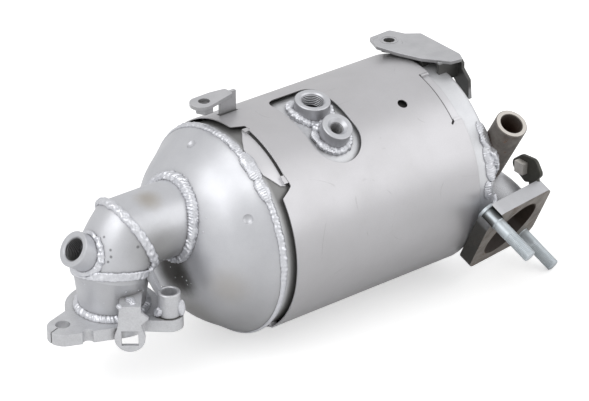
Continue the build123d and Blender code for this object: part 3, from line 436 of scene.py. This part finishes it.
looks = {
    "SatinBody": {
        **satin, "spots": bodySpots,
        # faces that look down are painted darker: painted shade
        "sides": (tint((0.1, -0.3, -0.95), start=-0.1, turn=0.9, colour=(112, 111, 108), amount=0.5,
                       even=1.0),)},
    "SatinCan": {
        **satin, "colour": (226, 227, 230), "shade": (206, 207, 211), "rough": 0.38,
        # a band of painted shade round the front of the canister, from the seam to just past the shield's
        # front edge
        "sides": (tint((0, 0, 0), start=-1.0, colour=(98, 97, 94), amount=0.8, even=1.0,
                       limits=(((-1, 0, 0), -0.115, 0.004), ((1, 0, 0), 0.0945, 0.005))),),
        "spots": (seenStainAndShadeSpot(402, 104, reach=0.006, feather=0.002, amount=0.93, wobble=0.0,
                            colour=(44, 43, 41)),)},
    "ShieldSheet": {
        **satin, "colour": (204, 203, 206), "shade": (193, 192, 194), "cloudScale": 22.0, "edge": 0.55,
        "rounding": 0.0003, "corner": 0.35, "scuff": 0.25, "scuffStretch": (0.6, 1.0, 1.0),
        "scuffScale": 26.0, "scuffWidth": 0.0035, "paintedShadeInside": (64, 62, 56),
        "spots": (stainAndShadeSpot((0.106, 0, axisZ), reach=0.0781, feather=0.0004, amount=0.5, wobble=0.0,
                        colour=(238, 238, 241)),),
        "sides": (
            # a thin painted shadow line along the rear slit, and the strip behind it painted lighter: painted
            # highlight
            tint(radial(29.5), start=0.9575, turn=0.003, colour=(48, 47, 46), amount=0.9,
                 limits=(((1, 0, 0), 0.26125, 0.0001), ((-1, 0, 0), -0.2621, 0.0001))),
            tint(radial(29.5), start=0.955, turn=0.01, colour=(236, 236, 240), amount=0.4,
                 limits=(((1, 0, 0), 0.26305, 0.0001),)),
            # faces that look down are painted darker: painted shade
            tint((0.2, -0.45, -0.87), start=0.0, turn=0.9, colour=(120, 120, 118), amount=0.3, even=1.0))},
    "ForgedFlange": {
        **satin, "colour": (214, 215, 218), "shade": (196, 196, 199), "cloudScale": 90.0,
        "grainScale": 900.0, "grain": 0.2, "bump": 0.5, "bumpDepth": 0.00016, "rounding": 0.0008,
        "rough": 0.4, "corner": 0.6},
    "PressedBracket": {
        **pressed, "scuff": 0.5,
        # the upright sides that face the viewer are painted darker: painted shade
        "sides": (tint((-0.5, -0.87, 0), start=0.35, colour=(146, 146, 146), amount=0.6, even=0.9),)},
    "RearBracket": {
        **pressed, "scuff": 0.6,
        "sides": (
            # painted shade: near black on faces toward the viewer below the plate, darker grey on the plate's
            # sides toward the viewer, and dark undersides
            tint((-0.54, -0.69, 0.48), start=0.2, colour=(46, 45, 41), amount=0.97, even=1.0,
                 limits=(((0, 0, -1), -0.1183, 0.0003), ((0, 1, 0), -0.0338, 0.0003))),
            tint((-0.62, -0.78, 0), start=0.3, colour=(96, 96, 95), amount=0.6, even=1.0,
                 limits=(((0, 0, -1), -0.1207, 0.0001),)),
            tint((0, 0, -1), start=0.5, colour=(52, 51, 46), amount=0.95))},
    # steel painted near black for pieces that sit in shadow: painted shade
    "PaintedShadeSteel": {**satin, "colour": (62, 61, 56), "shade": (48, 47, 43), "metal": 0.3},
    "TurnedBoss": {
        **turned, "colour": (204, 205, 209), "cornerReach": 0.016, "corner": 0.96,
        "cornerColour": (44, 41, 37), "cornerFrom": 0.15, "cornerTo": 0.8,
        # the bore is painted near black inside, with its corners: painted shade
        "spots": (stainAndShadeSpot(elbowRim - elbowLine * 0.0088, reach=0.0096, feather=0.0025, amount=0.72,
                        wobble=0.0004, colour=(40, 38, 35)),)},
    "CanBoss": {
        **turned, "colour": (208, 209, 213), "cornerReach": 0.012, "corner": 0.8,
        "cornerColour": (74, 68, 60), "cornerFrom": 0.1, "cornerTo": 0.6,
        # faces that look down and away are painted darker: painted shade
        "sides": (tint(radial(200), start=-0.35, turn=0.3, colour=(112, 110, 114), amount=0.5, even=1.0),)},
    "OutletPipe": {
        # its hollows are painted dark brown by the ambient-occlusion corners: painted shade
        **satin, "cornerReach": 0.05, "corner": 0.97, "cornerColour": (50, 41, 34), "cornerFrom": 0.12,
        "cornerTo": 0.42},
    "SleeveSteel": {
        **rusted, "colour": (122, 117, 112), "shade": (86, 81, 77), "cloudScale": 120.0, "cloud": 0.8,
        "rust": 0.32, "edgeColour": (190, 184, 176), "rustDark": (70, 50, 40), "rustLight": (124, 84, 58),
        "bump": 0.4, "cornerReach": 0.03, "cornerFrom": 0.1, "cornerTo": 0.45, "corner": 0.85,
        "cornerColour": (84, 54, 38),
        "sides": (tint(radial(30), start=0.8, colour=(216, 211, 205), amount=1.0, even=0.9),)},
    "RustedFlange": {
        **rusted, "colour": (146, 139, 132), "shade": (104, 96, 90), "cloudScale": 80.0, "cloud": 0.9,
        "rust": 0.4, "edgeColour": (190, 190, 192), "rustDark": (74, 58, 48), "rustLight": (126, 96, 76),
        "bump": 0.45,
        "spots": (stainAndShadeSpot(outletFace - outletLine * 0.0062, reach=0.0262, feather=0.0008, amount=0.93,
                        wobble=0.0006, colour=(56, 45, 36), dull=0.3),),
        "sides": (
            tint((-0.45, -0.15, 0.88), start=0.25, colour=(206, 207, 211), amount=0.95, even=0.95),
            # the sides that face left and down are painted dark: painted shade
            tint((-0.72, -0.2, -0.66), start=0.35, colour=(54, 55, 54), amount=0.9))},
    "ZincStud": {
        **satin, "colour": (205, 212, 217), "shade": (182, 192, 198), "rough": 0.32, "metal": 0.7,
        "cloudScale": 160.0},
    "OliveClip": {
        **satin, "colour": (74, 74, 68), "shade": (52, 52, 48), "metal": 0.35, "rough": 0.45,
        "edgeColour": (122, 118, 110), "edge": 0.5, "cloudScale": 120.0},
    "ClipHead": {
        **satin, "colour": (228, 224, 218), "shade": (190, 186, 180), "metal": 0.6, "rough": 0.42,
        "cloudScale": 150.0},
    "WeldSilver": {
        **satin, "colour": (228, 229, 234), "shade": (206, 208, 214), "cloudScale": 220.0,
        "grainScale": 1600.0, "grain": 0.22, "rough": 0.3, "roughChange": 0.15, "metal": 0.75,
        "rounding": 0.0002, "edge": 0.0, "corner": 0.35, "cornerReach": 0.002, "bump": 0.5,
        "bumpDepth": 0.0002},
    "BrickCeramic": {
        **satin, "colour": (176, 166, 148), "shade": (120, 112, 100), "metal": 0.0, "rough": 0.85,
        "roughChange": 0.0, "grain": 0.5, "grainScale": 2400.0},
    "MatFibre": {
        **satin, "colour": (206, 202, 190), "shade": (176, 170, 156), "metal": 0.0, "rough": 0.95,
        "roughChange": 0.0, "grain": 0.6, "grainScale": 2600.0, "bump": 0.8},
}
materials = {name: metalLook(name, look) for name, look in looks.items()}
dressed = {
    "SatinBody": ("inlet_cone", "neck_pipe", "inlet_elbow", "inlet_collar", "elbow_rib"),
    "SatinCan": ("canister_shell", "end_cover"),
    "OutletPipe": ("outlet_pipe",),
    "ShieldSheet": ("heat_shield",),
    "ForgedFlange": ("inlet_flange", "flange_bush", "hanger_tab"),
    "PressedBracket": ("front_bracket", "front_weld_nut"),
    "PaintedShadeSteel": ("rear_weld_nut",),
    "RearBracket": ("rear_bracket",),
    "TurnedBoss": ("elbow_boss",),
    "CanBoss": ("sensor_boss", "pressure_boss"),
    "SleeveSteel": ("mount_sleeve",),
    "RustedFlange": ("outlet_flange",),
    "ZincStud": ("outlet_studs",),
    "OliveClip": ("clip_bracket",),
    "ClipHead": ("clip_bolt",),
    "BrickCeramic": ("catalyst_brick", "filter_brick"),
    "MatFibre": ("catalyst_mat", "filter_mat"),
}
for lookName, nodeNames in dressed.items():
    for nodeName in nodeNames:
        nodes[nodeName].data.materials.clear()
        nodes[nodeName].data.materials.append(materials[lookName])
print("materials made and assigned")


# moves each point of a mesh along its normal, as far as the rule says
def roughened(piece, rule):
    piece.data.update()
    lifts = []
    for vertex in piece.data.vertices:
        lifts.append(vertex.co + vertex.normal * rule(vertex.co, vertex.normal))
    for vertex, moved in zip(piece.data.vertices, lifts):
        vertex.co = moved
    piece.data.update()


# turns a plain weld band into a lumpy, rippled bead, round its axis or, where it has a step, along it
def beadRule(values):
    centre, axis = Vector(values["centre"]), Vector(values["axis"]).normalized()
    first = axis.orthogonal().normalized()
    second = axis.cross(first)

    def lift(spot, normal):
        off = spot - centre
        across = off.dot(axis)
        if "step" in values:
            along = across / values["step"] * math.tau
            across = 0.0
        else:
            angle = math.atan2(off.dot(second), off.dot(first))
            along = angle * values["ripples"]
        drift = noise.noise(spot * values["driftScale"]) * values["drift"]
        ripple = math.cos(along + drift + (across / values["bowWidth"]) ** 2 * values["bow"])
        lumps = noise.noise(spot * values["lumpScale"]) * values["lump"]
        fine = noise.noise(spot * values["fineScale"]) * values["fine"]
        gain = values["gain"] + (1 - values["gain"]) * noise.noise(spot * values["gainScale"])
        rope = 0.0
        if "strands" in values:
            # two strands that cross over each other along the band
            wander = noise.noise(spot * values["wanderScale"]) * values["wander"]
            swing = math.sin(angle * values["strands"] + wander) * values["strandWidth"]
            nearest = min(abs(across - swing), abs(across + swing))
            rope = max(0.0, 1 - (nearest / values["strandWidth"]) ** 2) * values["strand"]
        heavy = 1.0
        if "roughWay" in values:
            # one side of the ring is coarse, the rest smooth
            toward = off.normalized().dot(Vector(values["roughWay"]))
            heavy = min(1.0, max(values["smooth"], toward * values["roughGain"] - values["roughFrom"]))
        return (values["lift"] + ripple * values["ripple"] * gain + lumps) * heavy + fine + rope
    return lift


# lengths are in metres, a scale is that of its noise, and bow bends the ripples across the band
bead = {"ripples": 90, "ripple": 0.00016, "lump": 0.00038, "lumpScale": 330.0, "fine": 0.00012,
        "fineScale": 1500, "lift": 0.00012, "voxel": 0.00050, "drift": 2.2, "driftScale": 160,
        "bow": 0.9, "bowWidth": 0.0022, "gain": 0.6, "gainScale": 90, "wander": 1.5, "wanderScale": 60,
        "strandWidth": 0.0017, "smooth": 0.12, "roughGain": 3, "roughFrom": 0.6}
mitreTurn = math.radians(24)
beads = {
    "seam_weld": {**bead, "centre": (seamX, 0, axisZ), "axis": (1, 0, 0), "ripples": 150, "voxel": 0.00062,
                  "ripple": 0.00030, "lump": 0.0007, "lift": 0.0007, "roughWay": radial(28)},
    "neck_weld": {**bead, "centre": (0.064, 0, 0.0604), "axis": (1, 0, 0), "ripples": 50,
                  "ripple": 0.00065, "lump": 0.0009, "lift": 0.0016},
    "mitre_weld": {**bead, "centre": (0.0138, 0, 0.0604),
                   "axis": (math.cos(mitreTurn), 0, math.sin(mitreTurn)), "ripples": 30, "ripple": 0.0003,
                   "lump": 0.0006, "lift": 0.0003, "strands": 11, "strand": 0.0007},
    "collar_weld": {**bead, "centre": (0, 0, 0.037), "axis": (0.2139, 0.2230, 0.9511), "ripples": 60,
                    "lump": 0.0006, "lift": 0.0003},
    "flange_weld": {**bead, "centre": (0, 0, 0.009), "axis": (0, 0, 1), "ripples": 56, "ripple": 0.0003,
                    "lump": 0.0006, "lift": 0.0006},
    "elbow_boss_weld": {**bead, "centre": (-0.0195, 0, 0.0556), "axis": elbowLine, "ripples": 26,
                        "ripple": 0.0004, "lump": 0.0012, "lift": 0.0005, "roughWay": (0.83, -0.55, 0)},
    "sensor_boss_weld": {**bead, "centre": sensorFoot, "axis": sensorLine, "ripples": 30, "ripple": 0.0005,
                         "lump": 0.0012, "lift": 0.0011},
    "pressure_boss_weld": {**bead, "centre": pressureFoot, "axis": pressureLine, "ripples": 26,
                           "ripple": 0.0005, "lump": 0.0012, "lift": 0.0011},
    "outlet_weld": {**bead, "centre": (endX, -0.0393, 0.0175), "axis": (1, 0, 0), "ripples": 56,
                    "lump": 0.0008, "lift": 0.0004},
    "sleeve_weld": {**bead, "centre": (endX, -0.0773, 0.0866), "axis": radial(30), "step": 0.0026,
                    "ripple": 0.00035, "lump": 0.0007, "lift": 0.0010},
}
for name, values in beads.items():
    piece = copyOf(name, name.replace("_", " ").title().replace(" ", ""))
    remeshed(piece, values["voxel"])
    roughened(piece, beadRule(values))
    bpy.ops.object.shade_smooth()
    finished(piece, "weld_steel", materials["WeldSilver"], name)
    print("bead", name, len(piece.data.polygons))

# lumps of weld metal: seen is a place in the photograph's frame, and the first of the three sizes
# lies along a direction, round the foot of a boss, or turned by degrees from the part's x axis
sleeveWay = (0, -0.5, 0.866)
lumps = {
    "BushLumpLeft": {"seen": (158.8, 312.2), "size": (0.0046, 0.0034, 0.0030), "turn": 40},
    "BushLumpRight": {"seen": (180.6, 307.5), "size": (0.0040, 0.0060, 0.0034), "turn": 0},
    "SensorWeldFront": {"seen": (297.0, 115.0), "size": (0.0084, 0.0034, 0.0020), "round": sensorFoot},
    "SensorWeldLeft": {"seen": (290.0, 106.0), "size": (0.0060, 0.0032, 0.0019), "round": sensorFoot},
    "PressureWeldFront": {"seen": (326.0, 147.0), "size": (0.0080, 0.0032, 0.0020), "round": pressureFoot},
    "PressureWeldLeft": {"seen": (316.0, 137.0), "size": (0.0064, 0.0032, 0.0019), "round": pressureFoot},
    "TabLump": {"seen": (130.0, 301.0), "size": (0.0058, 0.0030, 0.0016), "turn": 80},
    "TabFootLump": {"seen": (119.4, 306.6), "size": (0.0026, 0.0018, 0.0016), "turn": 60},
    "RibLump": {"seen": (150.6, 268.5), "size": (0.0026, 0.0016, 0.0014), "turn": 20},
    "SeamLumpTop": {"seen": (231.5, 143.0), "size": (0.0096, 0.0030, 0.0013), "along": (0, -0.96, -0.28)},
    "SeamLumpUpper": {"seen": (248.5, 163.5), "size": (0.0100, 0.0050, 0.0026), "along": (0, -0.9, -0.44)},
    "SeamLumpMiddle": {"seen": (254.5, 173.5), "size": (0.0062, 0.0046, 0.0023), "along": (0, -0.85, -0.52)},
    "SeamLumpLower": {"seen": (263.0, 190.0), "size": (0.0098, 0.0044, 0.0025), "along": (0, -0.8, -0.6)},
    "SleeveLumpTop": {"seen": (482.0, 131.0), "size": (0.0080, 0.0042, 0.0018), "along": sleeveWay},
    "SleeveLumpUpper": {"seen": (486.0, 142.0), "size": (0.0084, 0.0046, 0.0024), "along": sleeveWay},
    "SleeveLumpMiddle": {"seen": (488.5, 155.0), "size": (0.0088, 0.0050, 0.0026), "along": sleeveWay},
    "SleeveLumpLower": {"seen": (490.5, 170.0), "size": (0.0088, 0.0046, 0.0022), "along": sleeveWay},
    "OutletLumpTop": {"seen": (488.0, 190.0), "size": (0.0076, 0.0040, 0.0022), "along": sleeveWay},
}
lumpSkin = {"lump": 0.0008, "lumpScale": 240, "fine": 0.0002, "fineScale": 900, "ripple": 0.00022,
            "ripples": 3600, "drift": 2.5, "driftScale": 200}


def weldLump(name, lump):
    spot, normal = seenAt(*lump["seen"])
    bpy.ops.object.select_all(action="DESELECT")
    bpy.ops.mesh.primitive_ico_sphere_add(subdivisions=5, radius=1)
    piece = bpy.context.object
    piece.name = name
    piece.scale = lump["size"]
    piece.rotation_mode = "QUATERNION"
    along = Vector(lump.get("along", (1, 0, 0)))
    if "round" in lump:
        along = normal.cross(spot - lump["round"])
    along = (along - normal * along.dot(normal)).normalized()
    turn = Matrix((along, normal.cross(along), normal)).transposed().to_quaternion()
    piece.rotation_quaternion = turn @ Quaternion((0, 0, 1), math.radians(lump.get("turn", 0)))
    piece.location = spot
    settle()

    def lift(at, out):
        drift = noise.noise(at * lumpSkin["driftScale"]) * lumpSkin["drift"]
        bumps = noise.noise(at * lumpSkin["lumpScale"]) * lumpSkin["lump"]
        fine = noise.noise(at * lumpSkin["fineScale"]) * lumpSkin["fine"]
        return bumps + fine + math.cos(at.dot(along) * lumpSkin["ripples"] + drift) * lumpSkin["ripple"]
    roughened(piece, lift)
    bpy.ops.object.shade_smooth()
    finished(piece, "weld_steel", materials["WeldSilver"])


for name, lump in lumps.items():
    weldLump(name, lump)

# drops of spatter: some where they are seen, and some thrown round each weld
spatter = {"seed": 7, "size": (0.00022, 0.00062), "stretch": ((0.8, 1.5), (0.8, 1.2), (0.5, 0.8)),
           "out": (0.001, 0.006), "off": (-0.006, 0.004),
           "thrown": {"neck_weld": 12, "seam_weld": 16, "collar_weld": 8, "flange_weld": 10,
                      "outlet_weld": 8, "sensor_boss_weld": 5, "pressure_boss_weld": 4},
           "seen": ((158.1, 259.5), (163.7, 259.5), (175.5, 277.4), (182.3, 276.7), (186.5, 280.5),
                    (187.5, 284.7), (143.6, 290.7), (117.9, 298.2), (138.5, 290.5), (82.5, 283.3),
                    (84.8, 284.2), (170.5, 267.0), (178.6, 262.0), (191.0, 283.5), (126, 292),
                    (104, 303), (196, 243), (203, 232), (206, 218))}
landed = [seenAt(*seen) for seen in spatter["seen"]]
random.seed(spatter["seed"])
for name, count in spatter["thrown"].items():
    centre, axis = Vector(beads[name]["centre"]), Vector(beads[name]["axis"]).normalized()
    first = axis.orthogonal().normalized()
    reach = max((vertex.co - centre).cross(axis).length for vertex in nodes[name].data.vertices)
    for _ in range(count):
        angle = random.uniform(0, math.tau)
        out = first * math.cos(angle) + axis.cross(first) * math.sin(angle)
        away = out * (reach + random.uniform(*spatter["out"]))
        near = centre + away + axis * random.uniform(*spatter["off"])
        spot, normal, _, _ = surface.find_nearest(near)
        landed.append((spot, normal))
drops = []
for spot, normal in landed:
    bpy.ops.object.select_all(action="DESELECT")
    bpy.ops.mesh.primitive_ico_sphere_add(subdivisions=2, radius=random.uniform(*spatter["size"]))
    drop = bpy.context.object
    drop.scale = [random.uniform(low, high) for low, high in spatter["stretch"]]
    turn = Quaternion((0, 0, 1), random.uniform(0, math.tau))
    drop.rotation_mode = "QUATERNION"
    drop.rotation_quaternion = normal.to_track_quat("Z", "Y") @ turn
    drop.location = spot
    drops.append(drop)
only(drops[0])
for drop in drops:
    drop.select_set(True)
bpy.ops.object.join()
piece = bpy.context.object
piece.name = "WeldSpatter"
settle()
bpy.ops.object.shade_smooth()
finished(piece, "weld_steel", materials["WeldSilver"])
print("lumps and spatter done,", len(drops), "drops")

# helical ridges in the three bosses, swept from a triangle with its flat side in the bore
threads = {
    "ElbowThread": {"rim": elbowRim, "line": elbowLine, "bore": 0.0083, "pitch": 0.0015, "start": 0.0013,
                    "turns": 8, "look": "TurnedBoss"},
    "SensorThread": {"rim": sensorRim, "line": sensorLine, "bore": 0.0083, "pitch": 0.0015,
                     "start": 0.0013, "turns": 6, "look": "CanBoss"},
    "PressureThread": {"rim": pressureRim, "line": pressureLine, "bore": 0.00505, "pitch": 0.00125,
                       "start": 0.0026, "turns": 8, "look": "CanBoss"},
}
threadCut = {"profile": 0.52, "lead": 0.3, "steps": 56}    # profile and lead are shares of the pitch
for name, values in threads.items():
    pitch = values["pitch"]
    bpy.ops.object.select_all(action="DESELECT")
    bpy.ops.mesh.primitive_circle_add(vertices=3, radius=pitch * threadCut["profile"],
                                      location=(values["bore"], 0, 0))
    piece = bpy.context.object
    piece.name = name
    piece.rotation_euler = (math.radians(90), math.radians(90), 0)
    settle()
    screw = piece.modifiers.new("Screw", "SCREW")
    screw.axis = "Z"
    screw.steps = screw.render_steps = threadCut["steps"]
    screw.screw_offset = pitch
    screw.iterations = values["turns"]
    screw.use_merge_vertices = False
    bpy.ops.object.modifier_apply(modifier=screw.name)
    bpy.ops.object.mode_set(mode="EDIT")
    bpy.ops.mesh.select_all(action="DESELECT")
    bpy.ops.mesh.select_non_manifold()
    bpy.ops.mesh.fill()
    bpy.ops.mesh.select_all(action="SELECT")
    bpy.ops.mesh.normals_make_consistent(inside=False)
    bpy.ops.object.mode_set(mode="OBJECT")
    piece.rotation_mode = "QUATERNION"
    piece.rotation_quaternion = (-values["line"]).to_track_quat("Z", "Y")
    piece.location = values["rim"] - values["line"] * (values["start"] + pitch * threadCut["lead"])
    settle()
    finished(piece, "coated_steel", materials[values["look"]])
print("threads cut")

# studs with rolled threads cut into their length, from a height above the flange's face
stud = {"long": (0.776, -0.189, 0.601), "along": -0.0058, "across": 0.0428, "pitch": 0.00125,
        "depth": 0.00045, "voxel": 0.00026, "from": 0.0125, "endFace": 0.5}


def threadRule(values):
    line = outletLine
    longWay = Vector(values["long"])
    longWay = (longWay - line * longWay.dot(line)).normalized()
    wideWay = line.cross(longWay)

    def lift(spot, normal):
        off = spot - outletFace
        side = 1 if off.dot(wideWay) > 0 else -1
        height = off.dot(line)
        if abs(normal.dot(line)) > values["endFace"] or height < values["from"]:
            return 0.0
        centre = longWay * (values["along"] * side) + wideWay * (values["across"] * side)
        out = off - line * height - centre
        turn = math.atan2(out.dot(wideWay), out.dot(longWay))
        return -values["depth"] * (0.5 + 0.5 * math.cos(height / values["pitch"] * math.tau + turn))
    return lift


piece = copyOf("outlet_studs", "ThreadedStuds")
remeshed(piece, stud["voxel"])
roughened(piece, threadRule(stud))
bpy.ops.object.shade_smooth()
finished(piece, "zinc_steel", materials["ZincStud"], "outlet_studs")
print("studs threaded,", len(piece.data.polygons))

# a dark ring round the foot of the bush, painted as the shadow in the gap under it, and the raised ring round
# the rear bracket's hole
bushLow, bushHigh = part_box("flange_bush")
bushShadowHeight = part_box("inlet_flange")[1].z + 0.0003
rings = {
    "BushFootShadow": {"at": ((bushLow.x + bushHigh.x) / 2, (bushLow.y + bushHigh.y) / 2, bushShadowHeight),
                  "reach": (bushHigh.x - bushLow.x) / 2 + 0.0001, "thick": 0.00045, "facets": 12,
                  "flat": 1, "look": "PaintedShadeSteel"},
    "HoleRing": {"at": (endX - 0.0151, 0.0296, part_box("rear_bracket")[1].z), "reach": 0.0062,
                 "thick": 0.0006, "facets": 16, "flat": 0.7, "look": "PressedBracket"},
}
for name, ring in rings.items():
    bpy.ops.object.select_all(action="DESELECT")
    bpy.ops.mesh.primitive_torus_add(major_segments=96, minor_segments=ring["facets"],
                                     major_radius=ring["reach"], minor_radius=ring["thick"],
                                     location=ring["at"])
    piece = bpy.context.object
    piece.name = name
    piece.scale = (1, 1, ring["flat"])
    settle()
    bpy.ops.object.shade_smooth()
    finished(piece, "coated_steel", materials[ring["look"]])
print("rings done")

# floor, world and lamps
white = (1, 1, 1, 1)
stage = {"size": 40.0, "middle": 0.15, "below": 0.0005, "albedo": 0.8, "rough": 0.9, "glow": 0.5,
         "worldLight": 0.75}
bpy.ops.object.select_all(action="DESELECT")
bpy.ops.mesh.primitive_plane_add(size=stage["size"], location=(stage["middle"], 0, cadLow.z - stage["below"]))
floor = bpy.context.object
floor.name = "Floor"
floorLook = bpy.data.materials.new("FloorWhite")
floorLook.use_nodes = True
tree = floorLook.node_tree
shader = tree.nodes["Principled BSDF"].inputs
shader["Base Color"].default_value = (stage["albedo"],) * 3 + (1,)
shader["Roughness"].default_value = stage["rough"]
shader["Emission Color"].default_value = white
rays = put(tree, "ShaderNodeLightPath").outputs
feed(tree, shader["Emission Strength"], worked(tree, "MULTIPLY", rays["Is Camera Ray"], stage["glow"]))
floor.data.materials.append(floorLook)

world = bpy.data.worlds.new("Studio")
bpy.context.scene.world = world
world.use_nodes = True
background = world.node_tree.nodes["Background"].inputs
background["Color"].default_value = white
background["Strength"].default_value = stage["worldLight"]

lamps = {
    "RightSoftbox": {"azimuth": -50, "height": 30, "far": 1.9, "size": 1.9, "bright": 0.75},
    "LeftSoftbox": {"azimuth": -178, "height": 53, "far": 1.6, "size": 1.3, "bright": 1.5},
    "FrontSoftbox": {"azimuth": -160, "height": 22, "far": 1.8, "size": 1.2, "bright": 0.3},
}
aim = Vector((0.14, 0, 0.04))
for name, lamp in lamps.items():
    azimuth, height = math.radians(lamp["azimuth"]), math.radians(lamp["height"])
    flat = math.cos(height)
    way = Vector((math.cos(azimuth) * flat, math.sin(azimuth) * flat, math.sin(height)))
    bpy.ops.object.light_add(type="AREA", location=aim + way * lamp["far"])
    softbox = bpy.context.object
    softbox.name = name
    softbox.data.size = lamp["size"]
    softbox.data.energy = lamp["bright"] * math.pi * lamp["size"] ** 2
    softbox.rotation_mode = "QUATERNION"
    softbox.rotation_quaternion = (-way).to_track_quat("-Z", "Y")
    softbox.visible_camera = False
print("floor, world and lamps done")

bpy.context.scene.view_settings.view_transform = "Standard"
